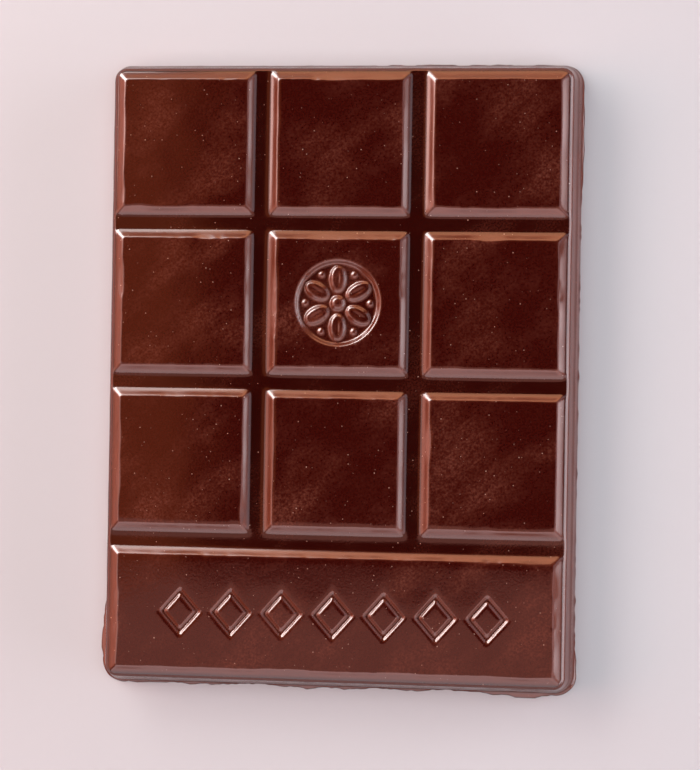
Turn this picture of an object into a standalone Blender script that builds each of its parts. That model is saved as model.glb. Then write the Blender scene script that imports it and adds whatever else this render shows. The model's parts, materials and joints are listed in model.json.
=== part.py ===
"""A moulded dark chocolate bar lying on its back: nine raised squares above one wide panel.

Metres, +Z up. X runs across the bar, Y along it, with the panel at the low Y end. The origin is under
the middle of the whole bar, on the plane that it lies on. Every size below is in millimetres.
"""

import math

import bmesh
import bpy

# The moulded face: three columns and three rows of squares, then the panel
columns = 3
rows = 3
squareAcross = 20.3
squareAlong = 20.7
panelAlong = 18.2
grooveTop = 5.3       # between the flat faces of two neighbours
bevelRun = 1.6        # how far a block's sloping side goes outwards
relief = 1.2          # block face above groove floor
blockCorner = 0.45    # radius of a block's corners
sink = 1.0            # how far a block's mesh reaches down into the slab before the two are joined

# The slab that carries the blocks
slabHeight = 6.8
ledge = 0.55          # strip of slab outside the outermost blocks
slabCorner = 1.4
sideDraft = 1.05      # the slab is this much wider at its back than at its face, on each side
edgeBreak = 0.25      # small slope round the slab's upper edge

# The thin lip of chocolate that crept out round the back of the mould
lipHeight = 0.6
lipLeast = 0.25
lipMost = 1.1
lipRipple = 0.12
# each bulge: where it is as a share of the half width and half length, its spread and how far it adds
lipBulges = (
    (-1.0, -0.85, 9.0, 1.1),
    (1.0, 0.72, 11.0, 1.0),
    (-0.55, -1.0, 7.0, 0.7),
    (0.05, -1.0, 9.0, 1.1),
    (0.82, -1.0, 7.0, 1.1),
    (0.30, 1.0, 12.0, 1.0),
    (0.80, 1.0, 6.0, 0.5),
    (-1.0, 0.25, 6.0, 0.3),
    (1.0, -0.45, 8.0, 0.35),
)

# The ornament in the middle square: a flower of petals in a round hollow
hollowRadius = 7.0
hollowDepth = 0.9
hollowDraft = 0.5
petals = 6
petalMiddle = 3.95     # from the flower's centre to a petal's middle
petalHalfLength = 2.1
petalHalfWidth = 1.35
petalRise = 0.75
budRadius = 1.25

# The ornament in the panel: a row of lozenges drawn with a shallow groove
lozenges = 7
lozengePitch = 8.4
lozengeHalfAcross = 2.9
lozengeHalfAlong = 3.3
strokeTop = 0.95
strokeFloor = 0.35
strokeDepth = 0.5

chocolateColour = (0.070, 0.0115, 0.0075)
finishRoughness = 0.28

mm = 0.001
bodyAcross = (columns - 1) * (squareAcross + grooveTop) + squareAcross + 2 * (bevelRun + ledge)
bodyAlong = rows * (squareAlong + grooveTop) + panelAlong + 2 * (bevelRun + ledge)
topOfFaces = bodyAlong / 2 - bevelRun - ledge


def clearScene():
    for obj in list(bpy.data.objects):
        bpy.data.objects.remove(obj, do_unlink=True)


def roundedOutline(halfAcross, halfAlong, radius, cornerSteps, sideSteps=(1, 1)):
    """Points (x, y, outward x, outward y) once round a rectangle with round corners, anticlockwise."""
    radius = max(radius, 1e-3)
    points = []
    for quarter in range(4):
        signX = 1 if quarter in (0, 3) else -1
        signY = 1 if quarter in (0, 1) else -1
        centreX = signX * (halfAcross - radius)
        centreY = signY * (halfAlong - radius)
        for step in range(cornerSteps + 1):
            angle = math.pi / 2 * (quarter + step / cornerSteps)
            outX, outY = math.cos(angle), math.sin(angle)
            points.append((centreX + radius * outX, centreY + radius * outY, outX, outY))
        # the straight side that follows: along X after corners 0 and 2, along Y after 1 and 3
        steps = sideSteps[0] if quarter in (0, 2) else sideSteps[1]
        length = 2 * ((halfAcross if quarter in (0, 2) else halfAlong) - radius)
        startX, startY, outX, outY = points[-1]
        for step in range(1, steps):
            gone = length * step / steps
            points.append((startX - outY * gone, startY + outX * gone, outX, outY))
    return points


def stackedRings(bm, rings):
    """A closed solid through rings of equal length, the lowest first: a cap, bands, a cap."""
    made = [[bm.verts.new((x * mm, y * mm, z * mm)) for x, y, z in ring] for ring in rings]
    bm.faces.new(reversed(made[0]))
    for lower, upper in zip(made, made[1:]):
        for i in range(len(lower)):
            j = (i + 1) % len(lower)
            bm.faces.new((lower[i], lower[j], upper[j], upper[i]))
    bm.faces.new(made[-1])


def meshObject(name, bm):
    mesh = bpy.data.meshes.new(name)
    bm.to_mesh(mesh)
    bm.free()
    obj = bpy.data.objects.new(name, mesh)
    bpy.context.scene.collection.objects.link(obj)
    return obj


def lipReach(x, y):
    """How far the lip stands out beyond the slab's side at this point of the outline."""
    halfAcross = bodyAcross / 2 + sideDraft
    halfAlong = bodyAlong / 2 + sideDraft
    reach = lipLeast + lipRipple * math.sin(0.9 * x + 1.3 * y) * math.sin(0.37 * x - 0.51 * y)
    for acrossShare, alongShare, spread, extra in lipBulges:
        far = math.hypot(x - acrossShare * halfAcross, y - alongShare * halfAlong)
        reach += extra * math.exp(-((far / spread) ** 2))
    return min(reach, lipMost)


def makeSlab():
    sideSteps = (26, 36)

    def ring(outwards, height, lipShare=0.0):
        outline = roundedOutline(
            bodyAcross / 2 + outwards, bodyAlong / 2 + outwards, slabCorner + outwards, 6, sideSteps
        )
        points = []
        for x, y, outX, outY in outline:
            reach = lipShare * lipReach(x, y)
            points.append((x + outX * reach, y + outY * reach, height))
        return points

    bm = bmesh.new()
    stackedRings(bm, [
        ring(sideDraft, 0.0, 0.85),
        ring(sideDraft, 0.35 * lipHeight, 1.0),
        ring(sideDraft, 0.70 * lipHeight, 0.55),
        ring(sideDraft, lipHeight),
        ring(0.0, slabHeight - edgeBreak),
        ring(-edgeBreak, slabHeight),
    ])
    return meshObject("chocolate_bar", bm)


def addBlock(bm, x, y, across, along):
    """One raised block: upright below the groove floor, then sloping in to its flat face."""
    def ring(outwards, height):
        outline = roundedOutline(
            across / 2 + outwards, along / 2 + outwards, blockCorner * (1 + outwards / bevelRun) / 2, 3
        )
        return [(x + px, y + py, height) for px, py, _, _ in outline]

    stackedRings(bm, [
        ring(bevelRun, slabHeight - sink),
        ring(bevelRun, slabHeight),
        ring(0.0, slabHeight + relief),
    ])


def squareMiddle(column, row):
    x = (column - (columns - 1) / 2) * (squareAcross + grooveTop)
    y = topOfFaces - squareAlong / 2 - row * (squareAlong + grooveTop)
    return x, y


def makeBlocks():
    bm = bmesh.new()
    for row in range(rows):
        for column in range(columns):
            x, y = squareMiddle(column, row)
            addBlock(bm, x, y, squareAcross, squareAlong)
    panelAcross = bodyAcross - 2 * (bevelRun + ledge)
    addBlock(bm, 0.0, panelMiddle(), panelAcross, panelAlong)
    return meshObject("raised_blocks", bm)


def panelMiddle():
    return panelAlong / 2 + bevelRun + ledge - bodyAlong / 2


def makeOrnamentCutter():
    """The round hollow and the lozenge grooves, each a closed solid that stands proud of the faces."""
    face = slabHeight + relief
    bm = bmesh.new()
    hollowX, hollowY = squareMiddle(1, 1)
    sides = 48

    def circle(radius, height):
        turns = [2 * math.pi * i / sides for i in range(sides)]
        return [(hollowX + radius * math.cos(t), hollowY + radius * math.sin(t), height) for t in turns]

    stackedRings(bm, [
        circle(hollowRadius - hollowDraft, face - hollowDepth),
        circle(hollowRadius, face),
        circle(hollowRadius, face + sink),
    ])
    for index in range(lozenges):
        x = (index - (lozenges - 1) / 2) * lozengePitch
        addLozenge(bm, x, panelMiddle(), face)
    return meshObject("ornament_cutter", bm)


def addLozenge(bm, x, y, face):
    """A lozenge-shaped channel: four rings of corners, joined outside, along the floor, inside and on top."""
    def ring(outwards, height):
        grow = outwards * math.hypot(1 / lozengeHalfAcross, 1 / lozengeHalfAlong)
        points = []
        for quarter in range(4):
            turn = math.pi / 2 * quarter
            points.append((
                x + lozengeHalfAcross * (1 + grow) * math.cos(turn),
                y + lozengeHalfAlong * (1 + grow) * math.sin(turn),
                height,
            ))
        return [bm.verts.new((px * mm, py * mm, pz * mm)) for px, py, pz in points]

    loops = [
        ring(strokeTop / 2, face + sink),
        ring(strokeTop / 2, face),
        ring(strokeFloor / 2, face - strokeDepth),
        ring(-strokeFloor / 2, face - strokeDepth),
        ring(-strokeTop / 2, face),
        ring(-strokeTop / 2, face + sink),
    ]
    for near, far in zip(loops, loops[1:] + loops[:1]):
        for i in range(4):
            j = (i + 1) % 4
            bm.faces.new((near[j], near[i], far[i], far[j]))


def addDome(bm, x, y, turn, halfLength, halfWidth, rise, foot):
    """Half an ellipsoid on a short upright foot that reaches under the hollow's floor."""
    sides = 16
    levels = 3

    def ring(share, height):
        points = []
        for i in range(sides):
            angle = 2 * math.pi * i / sides
            along = share * halfLength * math.cos(angle)
            aside = share * halfWidth * math.sin(angle)
            points.append((
                x + along * math.cos(turn) - aside * math.sin(turn),
                y + along * math.sin(turn) + aside * math.cos(turn),
                height,
            ))
        return points

    rings = [ring(1.0, foot - sink / 2), ring(1.0, foot)]
    for level in range(1, levels + 1):
        up = math.sin(math.pi / 2 * level / (levels + 1))
        rings.append(ring(math.sqrt(1 - up ** 2), foot + rise * up))
    stackedRings(bm, rings)


def makeFlower():
    foot = slabHeight + relief - hollowDepth
    x, y = squareMiddle(1, 1)
    bm = bmesh.new()
    for index in range(petals):
        turn = 2 * math.pi * index / petals + math.pi / 2
        petalX = x + petalMiddle * math.cos(turn)
        petalY = y + petalMiddle * math.sin(turn)
        addDome(bm, petalX, petalY, turn, petalHalfLength, petalHalfWidth, petalRise, foot)
    addDome(bm, x, y, 0.0, budRadius, budRadius, petalRise, foot)
    return meshObject("flower_relief", bm)


def combine(target, tool, operation):
    tool.hide_render = True
    tool.display_type = "WIRE"
    modifier = target.modifiers.new(tool.name, "BOOLEAN")
    modifier.operation = operation
    modifier.object = tool


def darkChocolate():
    """Tempered dark chocolate, glossy where it lay against the mould."""
    material = bpy.data.materials.new("tempered dark chocolate")
    material.use_nodes = True
    shader = material.node_tree.nodes["Principled BSDF"]
    shader.inputs["Base Color"].default_value = (*chocolateColour, 1)
    shader.inputs["Roughness"].default_value = finishRoughness
    shader.inputs["Metallic"].default_value = 0.0
    return material


def main():
    clearScene()
    bar = makeSlab()
    combine(bar, makeBlocks(), "UNION")
    combine(bar, makeOrnamentCutter(), "DIFFERENCE")
    combine(bar, makeFlower(), "UNION")
    bar.data.materials.append(darkChocolate())


main()
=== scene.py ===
import json

import bpy
import numpy as np
from mathutils import Matrix, Vector

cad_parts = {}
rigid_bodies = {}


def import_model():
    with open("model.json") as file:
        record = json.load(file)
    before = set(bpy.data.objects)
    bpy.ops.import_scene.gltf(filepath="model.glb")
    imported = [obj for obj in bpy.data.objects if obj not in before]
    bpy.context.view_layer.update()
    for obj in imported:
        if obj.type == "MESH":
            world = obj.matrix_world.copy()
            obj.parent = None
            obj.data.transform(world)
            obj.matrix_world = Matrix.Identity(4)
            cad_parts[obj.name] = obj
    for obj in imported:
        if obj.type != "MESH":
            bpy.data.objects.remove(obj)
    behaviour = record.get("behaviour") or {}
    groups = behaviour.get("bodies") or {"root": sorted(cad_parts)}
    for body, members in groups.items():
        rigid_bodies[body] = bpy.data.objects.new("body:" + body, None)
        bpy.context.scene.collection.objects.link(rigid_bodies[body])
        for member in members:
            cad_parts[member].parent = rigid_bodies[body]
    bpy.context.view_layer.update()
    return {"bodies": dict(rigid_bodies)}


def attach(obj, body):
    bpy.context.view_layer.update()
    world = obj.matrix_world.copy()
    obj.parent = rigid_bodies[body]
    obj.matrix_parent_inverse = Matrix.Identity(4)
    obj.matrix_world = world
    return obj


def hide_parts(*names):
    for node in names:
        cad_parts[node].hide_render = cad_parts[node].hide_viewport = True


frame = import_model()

mm = 0.001
bodyName = list(frame["bodies"])[0]
scene = bpy.context.scene

# The moulded bar on its back. Shapes are in millimetres, X across, Y along, Z up
bar = {
    "columns": 3, "rows": 3,
    "squareAcross": 20.3, "squareAlong": 20.7, "panelAlong": 18.2,
    "groove": 5.3,            # between the flat faces of neighbours
    "bevel": 1.6,             # run of a block's sloping side
    "relief": 1.2,            # face above groove floor
    "steepRun": 0.92,         # the upper, steeper part of the slope inside the bar
    "steepDrop": 0.76,        # and how far it falls
    "thickness": 8.0,
    "ledge": 0.55,            # strip outside the outermost blocks
    "corner": 1.4,            # slab's corner radius at the groove floor
    "draft": 1.05,            # the slab is this much wider at its back, each side
    "faceEdge": 0.15,         # softness of the edge between face and slope
    "breakEdge": 0.16,        # softness of the break between the slope's two parts
    "footEdge": 0.26,         # softness of the hollow between slope and groove floor
    "mitre": 0.14,            # the small flat on a block's sloping corners is 2.8 times this wide
    "mitreSoft": 0.06,        # softness of that flat's two edges
    "mitreFoot": 0.30,        # softness of the same corners at their foot
    "evenSlope": (0.9, 2.4),  # mm from the slab's edge: one even fall up to the first, both from the second
    "wander": 0.09,           # how far the face edges wander
    "wanderFine": 0.6,        # and the share of it that a finer noise adds
    "step": 0.17,             # how far the edges jump at small nicks
    "nickLevel": 0.42,        # noise above this makes a nick
    "nickSharpness": 9,
    "edgeReach": 0.5,         # how far from the face edge all this dies away
    "swell": 0.020,           # long unevenness of the faces
    "swellFine": 0.5,         # and the share of it that a finer noise adds
    "groundSwell": 0.012,     # unevenness of faces and grooves together
    "rim": 0.60,              # width of the small slope round the slab's upper edge
    "rimSlope": 41,           # its fall in degrees
}
lip = {
    "height": 0.6, "least": 0.06, "most": 1.1, "ripple": 0.10,
    "rippleFine": 0.8,        # the share of the ripple that a finer noise adds
    "bulgeShare": 0.85,       # a bulge's reach without its own unevenness, as a share
    "bulgeUneven": 0.3,
    "lowest": 0.05,           # the reach never falls below this
    # share of half width, share of half length, spread, added reach
    "bulges": (
        (-1.0, -0.88, 7.0, 1.0), (1.0, 0.76, 8.0, 0.42), (-0.62, -1.0, 9.0, 0.55),
        (-0.05, -1.0, 8.0, 0.8), (0.34, -1.0, 5.0, 0.5), (0.80, -1.0, 8.0, 1.15),
        (0.45, 1.0, 14.0, 0.15),
    ),
}
flower = {
    "hollowRadius": 7.0, "hollowDepth": 0.9, "hollowWall": 0.5,
    "petals": 6, "middle": 3.95, "halfLength": 2.2, "halfWidth": 1.35, "rise": 0.8,
    "bud": 1.2, "vein": 0.42, "veinDepth": 0.35, "veinHalfLength": 1.7,
    "beads": 6, "beadRing": 5.35, "beadRadius": 0.5, "beadRise": 0.4,
    # softness of the hollow's upper edge and lower edge, and of the foot of domes and beads
    "edgeSoft": 0.12, "floorSoft": 0.2, "domeSoft": 0.05, "beadSoft": 0.1,
    "margin": 0.2,            # the fine grid reaches this far past the hollow
}
lozenge = {
    "count": 7, "pitch": 8.4, "halfAcross": 2.9, "halfAlong": 3.3,
    "stroke": 0.95, "depth": 0.5, "soft": 0.16,
    "middleSoft": 0.01,       # keeps the distance smooth at a lozenge's middle
    "roundness": 1.6,         # how full the groove's cross-section is
    "margin": 0.7,            # the fine grid reaches this far past the row
}
# The slab's side and back, as rings
flank = {
    # rim: each ring's share of the rim's width, and its fall as a share of the rim's slope
    "rim": ((0.06, 0.5), (0.5, 1.0), (0.5, 1.0), (0.06, 1.35), (0.06, 1.7)),
    # wall: how far down each ring lies, as a share, and a low ridge along it
    "wall": (0.12, 0.32, 0.44, 0.51, 0.58, 0.66, 0.76, 1.0),
    "ridge": 0.20, "ridgeAt": 0.56, "ridgeSpread": 0.07,
    "wallUneven": 0.03,
    # foot: each ring's step inwards, its share of the lip's height and its share of the lip's reach
    "foot": ((0, 0.72, 0.55), (0, 0.5, 0.9), (0, 0.25, 1.0), (0, 0.08, 0.96), (0.06, 0.0, 0.85)),
    # back: the size of each ring, the most that it is hollow, and how fast the hollow deepens inwards
    "back": (0.985, 0.93, 0.8, 0.6, 0.35, 0.12), "backUneven": 0.05, "backFade": 4,
    # what the material reads on the side and back: part of the grooves' painted shade and most of the slopes'
    # painted light
    "raised": 0.75, "sloping": 0.8,
}
# Every unevenness is a noise: the mm between its random values, then its seed
noises = {
    "wander": (2.9, 1), "wanderFine": (1.0, 2), "nick": (6.5, 11),
    "swell": (11.0, 3), "swellFine": (5.0, 4), "groundSwell": (7.0, 5),
    "lip": (1.6, 6), "lipFine": (0.7, 7), "bulge": (2.2, 8),
    "wall": (3.0, 9), "back": (9.0, 10),
}
grid = {
    "finest": 0.15, "growth": 0.55, "coarsest": 1.1, "ornament": 0.26, "bevelLines": 6, "samples": 20001,
}

floorLevel = bar["thickness"] - bar["relief"]
faceAcross = (bar["columns"] - 1) * (bar["squareAcross"] + bar["groove"]) + bar["squareAcross"]
faceAlong = bar["rows"] * (bar["squareAlong"] + bar["groove"]) + bar["panelAlong"]
halfAcross = faceAcross / 2 + bar["bevel"] + bar["ledge"]
halfAlong = faceAlong / 2 + bar["bevel"] + bar["ledge"]
panelMiddle = bar["panelAlong"] / 2 - faceAlong / 2


def squareMiddle(column, row):
    x = (column - (bar["columns"] - 1) / 2) * (bar["squareAcross"] + bar["groove"])
    return x, faceAlong / 2 - bar["squareAlong"] / 2 - row * (bar["squareAlong"] + bar["groove"])


# every raised block: middle x, middle y, half width and half length of its flat face
blocks = [
    (*squareMiddle(column, row), bar["squareAcross"] / 2, bar["squareAlong"] / 2)
    for row in range(bar["rows"]) for column in range(bar["columns"])
]
blocks.append((0.0, panelMiddle, faceAcross / 2, bar["panelAlong"] / 2))
flowerMiddle = squareMiddle(1, 1)


# Zero below 0 and t above it, with the bend between them rounded over about `soft`
def softRamp(t, soft):
    return 0.5 * (t + np.sqrt(t * t + soft * soft))


# The larger of a and b, rounded where they meet
def softMax(a, b, soft):
    return 0.5 * (a + b + np.sqrt((a - b) ** 2 + soft * soft))


# Smooth noise from -1 to 1: random values on a lattice of `cell` mm, joined by a smooth step
def noise(x, y, cell, seed):
    lattice = np.random.default_rng(seed).uniform(-1, 1, (256, 256))
    u, v = x / cell + 101.3, y / cell + 77.7
    i, j = np.floor(u).astype(int), np.floor(v).astype(int)
    fu, fv = u - i, v - j
    fu, fv = fu ** 3 * (fu * (6 * fu - 15) + 10), fv ** 3 * (fv * (6 * fv - 15) + 10)
    i0, i1, j0, j1 = i % 256, (i + 1) % 256, j % 256, (j + 1) % 256
    low = lattice[i0, j0] * (1 - fu) + lattice[i1, j0] * fu
    high = lattice[i0, j1] * (1 - fu) + lattice[i1, j1] * fu
    return low * (1 - fv) + high * fv


# How much of the full relief stands at (x, y), from 0 in a groove to 1 on a face. A block's distance
# outwards is the larger of the two axis distances, or their mean and a little more on the flat of a corner.
# The drop is three softened ramps of that distance: a steep fall, then a gentler one, then the groove floor.
# Beside the rim both falls are the same
def blockShare(x, y):
    share = np.zeros_like(x)
    fine = bar["wanderFine"] * noise(x, y, *noises["wanderFine"])
    nick = noise(x, y, *noises["nick"]) - bar["nickLevel"]
    wander = bar["wander"] * (noise(x, y, *noises["wander"]) + fine)
    wander += bar["step"] * np.tanh(bar["nickSharpness"] * nick) * 0.5
    inside = np.minimum(halfAcross - np.abs(x), halfAlong - np.abs(y))
    even = bar["relief"] / bar["bevel"]
    steep = np.interp(inside, bar["evenSlope"], (even, bar["steepDrop"] / bar["steepRun"]))
    gentle = (bar["relief"] - steep * bar["steepRun"]) / (bar["bevel"] - bar["steepRun"])
    for middleX, middleY, halfX, halfY in blocks:
        outX, outY = np.abs(x - middleX) - halfX, np.abs(y - middleY) - halfY
        far = np.clip(np.maximum(outX, outY) / bar["bevel"], 0, 1)
        soft = bar["mitreSoft"] + (bar["mitreFoot"] - bar["mitreSoft"]) * far ** 3
        out = softMax(softMax(outX, outY, soft), (outX + outY) / 2 + bar["mitre"], soft)
        shift = wander * np.exp(-((out / bar["edgeReach"]) ** 2))
        drop = steep * softRamp(out + shift, bar["faceEdge"])
        drop -= (steep - gentle) * softRamp(out - bar["steepRun"], bar["breakEdge"])
        drop -= gentle * softRamp(out - bar["bevel"], bar["footEdge"])
        share += 1 - np.clip(drop / bar["relief"], 0, 1)
    return share


# The flower: a round hollow, petals and beads as domes that rise from its floor
def flowerHeight(x, y):
    u, v = x - flowerMiddle[0], y - flowerMiddle[1]
    radius = np.hypot(u, v)
    wall = softRamp(flower["hollowRadius"] - radius, flower["edgeSoft"])
    wall -= softRamp(flower["hollowRadius"] - flower["hollowWall"] - radius, flower["floorSoft"])
    height = -flower["hollowDepth"] * np.clip(wall / flower["hollowWall"], 0, 1)
    relief = np.zeros_like(x)
    for turn in np.arange(flower["petals"]) * 2 * np.pi / flower["petals"] + np.pi / 2:
        along = u * np.cos(turn) + v * np.sin(turn) - flower["middle"]
        aside = v * np.cos(turn) - u * np.sin(turn)
        inside = 1 - (along / flower["halfLength"]) ** 2 - (aside / flower["halfWidth"]) ** 2
        dome = flower["rise"] * np.sqrt(softRamp(inside, flower["domeSoft"]))
        length = np.clip(1 - (along / flower["veinHalfLength"]) ** 2, 0, 1)
        vein = np.exp(-((aside / flower["vein"]) ** 2)) * length
        relief = np.maximum(relief, dome - flower["veinDepth"] * vein)
    for turn in (np.arange(flower["beads"]) + 0.5) * 2 * np.pi / flower["beads"] + np.pi / 2:
        far = np.hypot(u - flower["beadRing"] * np.cos(turn), v - flower["beadRing"] * np.sin(turn))
        bead = np.sqrt(softRamp(1 - (far / flower["beadRadius"]) ** 2, flower["beadSoft"]))
        relief = np.maximum(relief, flower["beadRise"] * bead)
    bud = flower["rise"] * np.sqrt(softRamp(1 - (radius / flower["bud"]) ** 2, flower["domeSoft"]))
    relief = np.maximum(relief, bud)
    return height + np.where(radius < flower["hollowRadius"] - flower["hollowWall"], relief, 0)


# The row of lozenges: the distance to a lozenge's outline, cut with a round-bottomed groove
def lozengeCut(x, y):
    index = np.round(x / lozenge["pitch"])
    index = np.clip(index, -(lozenge["count"] // 2), lozenge["count"] // 2)
    u, v = np.abs(x - index * lozenge["pitch"]), np.abs(y - panelMiddle)
    scale = np.hypot(1 / lozenge["halfAcross"], 1 / lozenge["halfAlong"])
    far = softMax(u / lozenge["halfAcross"] + v / lozenge["halfAlong"], 0.0, lozenge["middleSoft"])
    out = (far - 1) / scale
    across = softRamp(1 - np.abs(out) / (lozenge["stroke"] / 2), lozenge["soft"])
    return lozenge["depth"] * np.tanh(lozenge["roundness"] * across) / np.tanh(lozenge["roundness"])


def topHeight(x, y):
    swell = noise(x, y, *noises["swell"]) + bar["swellFine"] * noise(x, y, *noises["swellFine"])
    ground = bar["groundSwell"] * noise(x, y, *noises["groundSwell"])
    face = bar["relief"] + bar["swell"] * swell
    face = face + flowerHeight(x, y) - lozengeCut(x, y)
    return floorLevel + blockShare(x, y) * face + ground


# Grid lines from low to high: close together at the features and where an ornament lies, wider between.
# The lines are where the running total of 1/spacing passes the whole numbers
def gridLines(low, high, features, fine):
    t = np.linspace(low, high, grid["samples"])
    gap = np.full_like(t, grid["coarsest"])
    for feature in features:
        gap = np.minimum(gap, grid["finest"] + grid["growth"] * np.abs(t - feature))
    for start, end in fine:
        outside = np.clip(np.maximum(start - t, t - end), 0, None)
        gap = np.minimum(gap, grid["ornament"] + grid["growth"] * outside)
    total = np.concatenate([[0], np.cumsum((1 / gap[1:] + 1 / gap[:-1]) / 2 * np.diff(t))])
    count = int(np.ceil(total[-1]))
    return np.interp(np.linspace(0, total[-1], count + 1), total, t)


# The slab's side: for each ring how far outwards of the groove floor's edge it lies and how high, with the
# share of the lip in it. A small straight slope with rounded ends, the drafted wall, then the lip
def sideRings():
    fall = np.radians(bar["rimSlope"])
    out, height = -bar["rim"], floorLevel
    rings = []
    for share, turn in flank["rim"]:
        out += share * bar["rim"] * np.cos(turn * fall)
        height -= share * bar["rim"] * np.sin(turn * fall)
        rings.append((out, height, 0.0))
    top, narrow = height, out
    for share in flank["wall"]:
        ridge = flank["ridge"] * np.exp(-(((share - flank["ridgeAt"]) / flank["ridgeSpread"]) ** 2))
        out = narrow + (bar["draft"] - narrow) * share + ridge
        rings.append((out, top + (lip["height"] - top) * share, 0.0))
    for inwards, share, reach in flank["foot"]:
        rings.append((bar["draft"] - inwards, share * lip["height"], reach))
    return rings


# How far the thin lip stands out, from soft bumps at its bulges and a fine ripple
def lipReach(x, y):
    wide, long = halfAcross + bar["draft"], halfAlong + bar["draft"]
    ripple = noise(x, y, *noises["lip"]) + lip["rippleFine"] * noise(x, y, *noises["lipFine"])
    uneven = lip["bulgeShare"] + lip["bulgeUneven"] * noise(x, y, *noises["bulge"])
    reach = lip["least"] + lip["ripple"] * ripple
    for shareX, shareY, spread, extra in lip["bulges"]:
        far = np.hypot(x - shareX * wide, y - shareY * long)
        reach = reach + extra * np.exp(-((far / spread) ** 2)) * uneven
    return np.clip(reach, lip["lowest"], lip["most"])


# Bends a grid's square corners to round ones: inside the corner square the larger coordinate
# becomes the distance from the corner's centre
def roundCorners(x, y, wide, long, radius):
    u, v = np.clip(np.abs(x) - (wide - radius), 0, None), np.clip(np.abs(y) - (long - radius), 0, None)
    far = np.hypot(u, v)
    shrink = np.where(far > 1e-9, np.maximum(u, v) / np.maximum(far, 1e-9), 1)
    return np.where(u > 0, np.sign(x) * (wide - radius + u * shrink), x), np.where(
        v > 0, np.sign(y) * (long - radius + v * shrink), y)


def outwardDirection(x, y, wide, long, radius):
    u = np.sign(x) * np.clip(np.abs(x) - (wide - radius), 0, None)
    v = np.sign(y) * np.clip(np.abs(y) - (long - radius), 0, None)
    far = np.hypot(u, v)
    return u / far, v / far


# The whole bar: the moulded face as a height over a grid, the side as rings below the grid's border,
# the back as smaller and smaller copies of the last ring round one middle point
def makeBar():
    wide, long = halfAcross - bar["rim"], halfAlong - bar["rim"]
    radius = bar["corner"]
    edgesX, edgesY = {-wide, wide}, {-long, long}
    for middleX, middleY, halfX, halfY in blocks:
        for step in np.linspace(0, bar["bevel"], grid["bevelLines"]):
            edgesX |= {middleX - halfX - step, middleX + halfX + step}
            edgesY |= {middleY - halfY - step, middleY + halfY + step}
    lozengeReach = lozenge["halfAcross"] + lozenge["margin"]
    rowEnd = lozenge["count"] // 2 * lozenge["pitch"] + lozengeReach
    hollow = flower["hollowRadius"] + flower["margin"]
    tall = lozenge["halfAlong"] + lozenge["margin"]
    ornamentY = [(flowerMiddle[1] - hollow, flowerMiddle[1] + hollow)]
    ornamentY += [(panelMiddle - tall, panelMiddle + tall)]
    linesX = gridLines(-wide, wide, edgesX, [(-rowEnd, rowEnd)])
    linesY = gridLines(-long, long, edgesY, ornamentY)
    x, y = np.meshgrid(linesX, linesY)
    x, y = roundCorners(x, y, wide, long, radius)
    z = topHeight(x, y)
    rows, columns = x.shape
    index = np.arange(rows * columns).reshape(rows, columns)
    border = np.concatenate([index[0, :-1], index[:-1, -1], index[-1, :0:-1], index[:0:-1, 0]])
    borderX, borderY, borderZ = x.ravel()[border], y.ravel()[border], z.ravel()[border]
    outX, outY = outwardDirection(borderX, borderY, wide, long, radius)
    points = [np.stack([x.ravel(), y.ravel(), z.ravel()], axis=1)]
    corners = [index[:-1, :-1], index[:-1, 1:], index[1:, 1:], index[1:, :-1]]
    quads = [np.stack(corners, axis=-1).reshape(-1, 4)]
    reach = lipReach(borderX, borderY)
    carry = borderZ - floorLevel
    rings = sideRings()
    rimRings = len(flank["rim"])
    wallRings = range(rimRings, rimRings + len(flank["wall"]))
    last = border
    for number, (out, height, share) in enumerate(rings):
        fade = max(0.0, 1 - (number + 1) / rimRings)
        push = halfAcross - wide + out + share * reach
        if number in wallRings:
            uneven = noise(borderX + height * 3, borderY - height * 2, *noises["wall"])
            push = push + flank["wallUneven"] * uneven
        ring = np.stack([borderX + outX * push, borderY + outY * push, height + carry * fade], axis=1)
        last = addRing(points, quads, ring, last)
    for scale in flank["back"]:
        flat = ring * (scale, scale, 1)
        uneven = np.clip(noise(flat[:, 0], flat[:, 1], *noises["back"]), 0, 1)
        flat[:, 2] = flank["backUneven"] * uneven * min(1, (1 - scale) * flank["backFade"])
        last = addRing(points, quads, flat, last)
    middle = sum(len(part) for part in points)
    points.append(np.zeros((1, 3)))
    fan = np.stack([np.roll(last, -1), last, np.full_like(last, middle)], axis=1)
    every = np.concatenate(points)
    piece = meshPiece("moulded_bar", every, np.concatenate(quads), fan)
    share = np.ones(len(every))
    share[:x.size] = blockShare(x.ravel(), y.ravel())
    # the side and back take part of the grooves' painted shade
    share[x.size:] = flank["raised"]
    steep = np.zeros(len(every))
    across, along = np.gradient(z, linesX, axis=1), np.gradient(z, linesY, axis=0)
    fullSlope = bar["relief"] / bar["bevel"]
    steep[:x.size] = np.clip(np.hypot(across, along).ravel() / fullSlope, 0, 1)
    # the side and back take most of the slopes' painted light
    steep[x.size:x.size + len(border) * len(rings)] = flank["sloping"]
    addAttribute(piece, "raised", share)
    addAttribute(piece, "sloping", steep)
    print("bar:", rows, "x", columns, "grid,", 2 * sum(len(q) for q in quads) + len(fan), "triangles")
    return piece


def addRing(points, quads, ring, last):
    start = sum(len(part) for part in points)
    new = np.arange(start, start + len(ring))
    points.append(ring)
    quads.append(np.stack([last, new, np.roll(new, -1), np.roll(last, -1)], axis=1))
    return new


def meshPiece(name, points, quads, triangles):
    mesh = bpy.data.meshes.new(name)
    mesh.from_pydata((points * mm).tolist(), [], quads.tolist() + triangles.tolist())
    mesh.polygons.foreach_set("use_smooth", np.ones(len(mesh.polygons), dtype=bool))
    mesh.update()
    piece = bpy.data.objects.new(name, mesh)
    scene.collection.objects.link(piece)
    return piece


# One number for each vertex, which the material reads by its name
def addAttribute(piece, name, values):
    attribute = piece.data.attributes.new(name, "FLOAT", "POINT")
    attribute.data.foreach_set("value", np.ascontiguousarray(values, dtype=np.float32))


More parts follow.
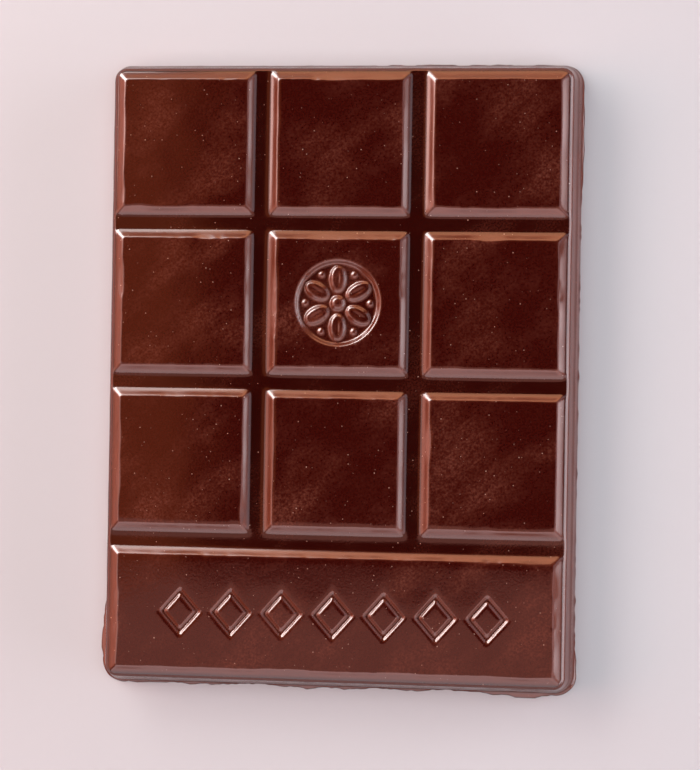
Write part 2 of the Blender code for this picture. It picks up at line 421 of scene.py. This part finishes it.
def linear(code):
    channels = np.array([int(code[i:i + 2], 16) / 255 for i in (1, 3, 5)])
    return (*np.where(channels <= 0.04045, channels / 12.92, ((channels + 0.055) / 1.055) ** 2.4), 1)


# One node with its settings and its inputs, each a value or the socket that feeds it; gives back an output
def addNode(tree, kind, settings, inputs, output=0):
    node = tree.nodes.new(kind)
    for name, value in settings.items():
        setattr(node, name, value)
    for name, value in inputs.items():
        if isinstance(value, bpy.types.NodeSocket):
            tree.links.new(value, node.inputs[name])
        else:
            node.inputs[name].default_value = value
    return node.outputs[output] if node.outputs else node


def newMaterial(name):
    material = bpy.data.materials.new(name)
    material.use_nodes = True
    material.node_tree.nodes.clear()
    return material, material.node_tree


# Tempered dark chocolate takes the mould's polish: a deep red brown with a clear shine, a dusty haze in
# # drifting patches with rub marks in them and small pale specks. The slopes are painted paler as painted
# light, and the grooves darker and less hazy as painted shade
chocolate = {
    # the groove colour is painted darker than the face as painted shade; the slope colour is painted paler as
    # painted light
    "face": "#300301", "groove": "#280301", "slope": "#5E2818",
    "haze": "#7E4030", "speck": "#C8A090",
    "roughness": 0.07,        # faces, polished by the mould
    "hazeRoughness": 0.35,    # added where the haze is thickest
    "slopeRoughness": 0.15,   # and on the slopes
    "ior": 1.47,
    "hazeShare": 0.25,        # how far a full haze hides the brown
    "grooveHazePaintedShade": 0.45,       # haze in the grooves as a share of that on the faces; less haze there is painted shade
    "hazeBase": 0.14,         # haze outside the patches
    "mottle": 1.3,            # how strongly the grain breaks the haze up
    "mottleBase": 0.2,        # and how much haze is left between the grains
    "rubHaze": 0.45,          # how much haze a rub mark adds
    "speckCell": 0.75,        # mm between specks
    "speckSize": 0.15,        # radius of the largest as a share of that
    "speckDraw": 0.35,        # cells that draw less than this have none
    "speckEdge": (-0.02, 0.06),
    "speckShare": 0.6,        # how far a speck hides the brown
    "slopeFoot": 0.5,         # the slopes' painted light, their extra roughness and their smoothness fade out below this share of the relief
    "grainHeight": 0.3,       # the grain's height as a share of a speck's
    "bump": 0.3, "bumpHeight": 0.02,
    # noise patterns: mm along, mm across, mm deep, turn in degrees, detail, and the share of the noise
    # where the pattern starts and where it is full. The grain is coarser than a real one, so that it shows
    "patternRoughness": 0.55,
    "patterns": {
        "patch": (14.0, 8.0, 9.0, 38, 6.0, 0.42, 0.74),
        "grain": (0.34, 0.34, 0.34, 0, 4.0, 0.32, 0.76),
        "rub": (5.0, 0.35, 5.0, 40, 3.0, 0.46, 0.78),
    },
}


def temperedChocolate():
    material, tree = newMaterial("tempered dark chocolate, moulded")
    eased = {"interpolation_type": "SMOOTHSTEP"}
    times, timesPlus = {"operation": "MULTIPLY"}, {"operation": "MULTIPLY_ADD"}
    colours = {"data_type": "RGBA"}
    place = addNode(tree, "ShaderNodeTexCoord", {}, {}, "Object")
    raised = addNode(tree, "ShaderNodeAttribute", {"attribute_name": "raised"}, {}, "Fac")
    sloping = addNode(tree, "ShaderNodeAttribute", {"attribute_name": "sloping"}, {}, "Fac")
    pattern = {}
    for name, (along, across, deep, turn, detail, start, full) in chocolate["patterns"].items():
        size = (along * mm, across * mm, deep * mm)
        space = addNode(tree, "ShaderNodeMapping", {"vector_type": "TEXTURE"}, {
            "Vector": place, "Rotation": (0, 0, np.radians(turn)), "Scale": size})
        value = addNode(tree, "ShaderNodeTexNoise", {}, {
            "Vector": space, "Scale": 1.0, "Detail": detail,
            "Roughness": chocolate["patternRoughness"]})
        pattern[name] = addNode(tree, "ShaderNodeMapRange", eased, {
            "Value": value, "From Min": start, "From Max": full})
    # specks: a round dot in each cell, of a size that the cell draws, and none in the cells that draw low
    cell = (chocolate["speckCell"] * mm,) * 3
    space = addNode(tree, "ShaderNodeMapping", {"vector_type": "TEXTURE"}, {"Vector": place, "Scale": cell})
    distance = addNode(tree, "ShaderNodeTexVoronoi", {}, {"Vector": space, "Scale": 1.0}, "Distance")
    draw = addNode(tree, "ShaderNodeTexVoronoi", {}, {"Vector": space, "Scale": 1.0}, "Color")
    reach = addNode(tree, "ShaderNodeMapRange", eased, {
        "Value": draw, "From Min": chocolate["speckDraw"], "From Max": 1.0, "To Max": chocolate["speckSize"]})
    inside = addNode(tree, "ShaderNodeMath", {"operation": "SUBTRACT"}, {0: reach, 1: distance})
    start, full = chocolate["speckEdge"]
    specks = addNode(tree, "ShaderNodeMapRange", eased, {
        "Value": inside, "From Min": start, "From Max": full, "To Max": chocolate["speckShare"]})
    # haze = (patches and a little everywhere) x mottled grain + rub marks in the patches, thinner in the
    #     # grooves as painted shade
    clouds = addNode(tree, "ShaderNodeMath", {"operation": "ADD"}, {
        0: pattern["patch"], 1: chocolate["hazeBase"]})
    mottle = addNode(tree, "ShaderNodeMath", timesPlus, {
        0: pattern["grain"], 1: chocolate["mottle"], 2: chocolate["mottleBase"]})
    rubbed = addNode(tree, "ShaderNodeMath", times, {0: pattern["rub"], 1: pattern["patch"]})
    haze = addNode(tree, "ShaderNodeMath", times, {0: clouds, 1: mottle})
    haze = addNode(tree, "ShaderNodeMath", timesPlus, {0: rubbed, 1: chocolate["rubHaze"], 2: haze})
    # less haze in the grooves leaves them darker: painted shade
    paintedShadeGrooveHaze = chocolate["grooveHazePaintedShade"] * chocolate["hazeShare"]
    most = addNode(tree, "ShaderNodeMapRange", eased, {
        "Value": raised, "To Min": paintedShadeGrooveHaze, "To Max": chocolate["hazeShare"]})
    haze = addNode(tree, "ShaderNodeMath", times, {0: haze, 1: most})
    # the slopes' share of painted light, roughness and smoothness: steepness squared, fading out at their
    # foot
    foot = addNode(tree, "ShaderNodeMapRange", eased, {
        "Value": raised, "From Max": chocolate["slopeFoot"]})
    slope = addNode(tree, "ShaderNodeMath", times, {0: sloping, 1: sloping})
    slope = addNode(tree, "ShaderNodeMath", times, {0: slope, 1: foot})
    # the grooves take a darker brown than the faces: painted shade in the recesses
    colour = addNode(tree, "ShaderNodeMix", colours, {
        0: raised, 6: linear(chocolate["groove"]), 7: linear(chocolate["face"])}, 2)
    colour = addNode(tree, "ShaderNodeMix", colours, {0: haze, 6: colour, 7: linear(chocolate["haze"])}, 2)
    # the slopes are painted paler: painted light on the slopes
    colour = addNode(tree, "ShaderNodeMix", colours, {0: slope, 6: colour, 7: linear(chocolate["slope"])}, 2)
    colour = addNode(tree, "ShaderNodeMix", colours, {0: specks, 6: colour, 7: linear(chocolate["speck"])}, 2)
    # the grain and the specks stand up from the flat parts only
    flat = addNode(tree, "ShaderNodeMapRange", {}, {"Value": slope, "To Min": 1.0, "To Max": 0.0})
    height = addNode(tree, "ShaderNodeMath", timesPlus, {
        0: pattern["grain"], 1: chocolate["grainHeight"], 2: specks})
    height = addNode(tree, "ShaderNodeMath", times, {0: height, 1: flat})
    normal = addNode(tree, "ShaderNodeBump", {}, {
        "Height": height, "Strength": chocolate["bump"], "Distance": chocolate["bumpHeight"] * mm})
    hazy = addNode(tree, "ShaderNodeMath", times, {0: haze, 1: flat})
    roughness = addNode(tree, "ShaderNodeMath", timesPlus, {
        0: hazy, 1: chocolate["hazeRoughness"], 2: chocolate["roughness"]})
    roughness = addNode(tree, "ShaderNodeMath", timesPlus, {
        0: slope, 1: chocolate["slopeRoughness"], 2: roughness})
    surface = addNode(tree, "ShaderNodeBsdfPrincipled", {}, {
        "Base Color": colour, "Roughness": roughness, "Normal": normal, "IOR": chocolate["ior"]})
    addNode(tree, "ShaderNodeOutputMaterial", {}, {"Surface": surface})
    return material


def paleFloor():
    material, tree = newMaterial("matt pale floor")
    surface = addNode(tree, "ShaderNodeBsdfPrincipled", {}, {
        "Base Color": linear("#C6C8CE"), "Roughness": 0.7, "Specular IOR Level": 0.2})
    addNode(tree, "ShaderNodeOutputMaterial", {}, {"Surface": surface})
    return material


def makeFloor():
    half = 3.0
    points = np.array([[-half, -half, 0], [half, -half, 0], [half, half, 0], [-half, half, 0]]) / mm
    floor = meshPiece("floor", points, np.array([[0, 1, 2, 3]]), np.zeros((0, 3), dtype=int))
    floor.data.materials.append(paleFloor())


# The camera looks down on the middle square, turned a little to the bar's right. Degrees and millimetres
camera = {
    "lens": 110.3, "sensor": 36.0, "turn": 7.42, "tip": 0.19, "roll": 0.95, "offset": (2.09, -13.33, 383.36),
}


def makeCamera():
    data = bpy.data.cameras.new("camera")
    data.lens = camera["lens"]
    data.sensor_width = camera["sensor"]
    data.clip_start = 0.01
    eye = bpy.data.objects.new("camera", data)
    turn = Matrix.Rotation(np.radians(camera["turn"]), 4, "Y")
    turn = turn @ Matrix.Rotation(np.radians(camera["tip"]), 4, "X")
    turn = turn @ Matrix.Rotation(np.radians(camera["roll"]), 4, "Z")
    middle = Vector((flowerMiddle[0], flowerMiddle[1], bar["thickness"]))
    place = middle + turn @ Vector(camera["offset"])
    eye.matrix_world = Matrix.Translation(place * mm) @ turn
    scene.collection.objects.link(eye)
    scene.camera = eye


# Softboxes. Bearing in degrees anticlockwise from the bar's right, elevation, distance, width and height in
# metres, radiance, colour, and whether the box lights matt colour and whether it shows in the gloss
lights = {
    "key": (141, 30, 0.70, 0.62, 0.22, 7.0, "#FFF4EC", True, False),
    "glint": (141, 25, 0.70, 0.46, 0.34, 22.0, "#FFF6F4", False, True),
    "left window": (181, 22, 0.70, 0.50, 0.22, 5.6, "#FFAA98", True, True),
    "left upper window": (180, 42, 0.70, 0.50, 0.26, 3.2, "#FFD0C8", True, True),
    "left card": (182, 4, 0.60, 0.70, 0.16, 2.7, "#FFA48C", False, True),
    "left corner card": (156, 23, 0.60, 0.34, 0.20, 7.5, "#FFE2DE", False, True),
    "far pale card": (121, 26, 0.60, 0.34, 0.24, 10.4, "#FFF0EC", False, True),
    "far warm card": (82, 23, 0.60, 0.44, 0.24, 5.8, "#FFB488", False, True),
    "far low card": (90, 3, 0.60, 1.00, 0.12, 2.4, "#FFC8A0", True, True),
    "right low card": (0, 11, 0.55, 0.90, 0.24, 6.0, "#FCF4FC", True, True),
    "rim card": (0, 7.5, 0.60, 0.90, 0.08, 3.4, "#FFF4F8", True, True),
    "right high card": (0, 40, 0.55, 0.90, 0.16, 1.8, "#FAF0FF", False, True),
    "near card": (-90, 24, 0.55, 0.90, 0.44, 3.0, "#FFE8EC", False, True),
    "top fill": (0, 90, 1.00, 1.20, 1.20, 1.7, "#FFFFFF", True, False),
}
# Dim cards overhead that only show in the gloss. Lowest and highest X, lowest and highest Y, height in
# metres, radiance, colour
overhead = {
    "over the left": (-1.0, -0.101, -0.066, 1.0, 0.40, 1.2, "#FF8554"),
    "over the near end": (-0.9, 0.9, -1.0, -0.066, 0.40, 1.75, "#FFAA98"),
}
lightAim = (0, 0, 0.005)
worldStrength = 0.02


def addSoftbox(name, place, aim, wide, high, radiance, colour, matt, gloss):
    data = bpy.data.lights.new(name, "AREA")
    data.shape = "RECTANGLE"
    data.size, data.size_y = wide, high
    data.energy = radiance * np.pi * wide * high
    data.color = linear(colour)[:3]
    lamp = bpy.data.objects.new(name, data)
    lamp.location = place
    lamp.visible_diffuse, lamp.visible_glossy = matt, gloss
    lamp.rotation_euler = (Vector(aim) - Vector(place)).to_track_quat("-Z", "Y").to_euler()
    scene.collection.objects.link(lamp)


def makeLights():
    for name, (bearing, elevation, distance, *rest) in lights.items():
        turn, rise = np.radians(bearing), np.radians(elevation)
        flat = distance * np.cos(rise)
        place = (flat * np.cos(turn), flat * np.sin(turn), distance * np.sin(rise))
        addSoftbox(name, place, lightAim, *rest)
    for name, (west, east, south, north, height, radiance, colour) in overhead.items():
        middleX, middleY = (west + east) / 2, (south + north) / 2
        place, below = (middleX, middleY, height), (middleX, middleY, 0)
        addSoftbox(name, place, below, east - west, north - south, radiance, colour, False, True)
    world = bpy.data.worlds.new("studio")
    world.use_nodes = True
    world.node_tree.nodes["Background"].inputs["Color"].default_value = linear("#FFFFFF")
    world.node_tree.nodes["Background"].inputs["Strength"].default_value = worldStrength
    scene.world = world


scene.view_settings.view_transform = "Standard"
makeCamera()
print("camera set")
makeFloor()
makeLights()
print("floor and lights set")
piece = makeBar()
piece.data.materials.append(temperedChocolate())
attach(piece, bodyName)
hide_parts("chocolate_bar")
print("bar finished")
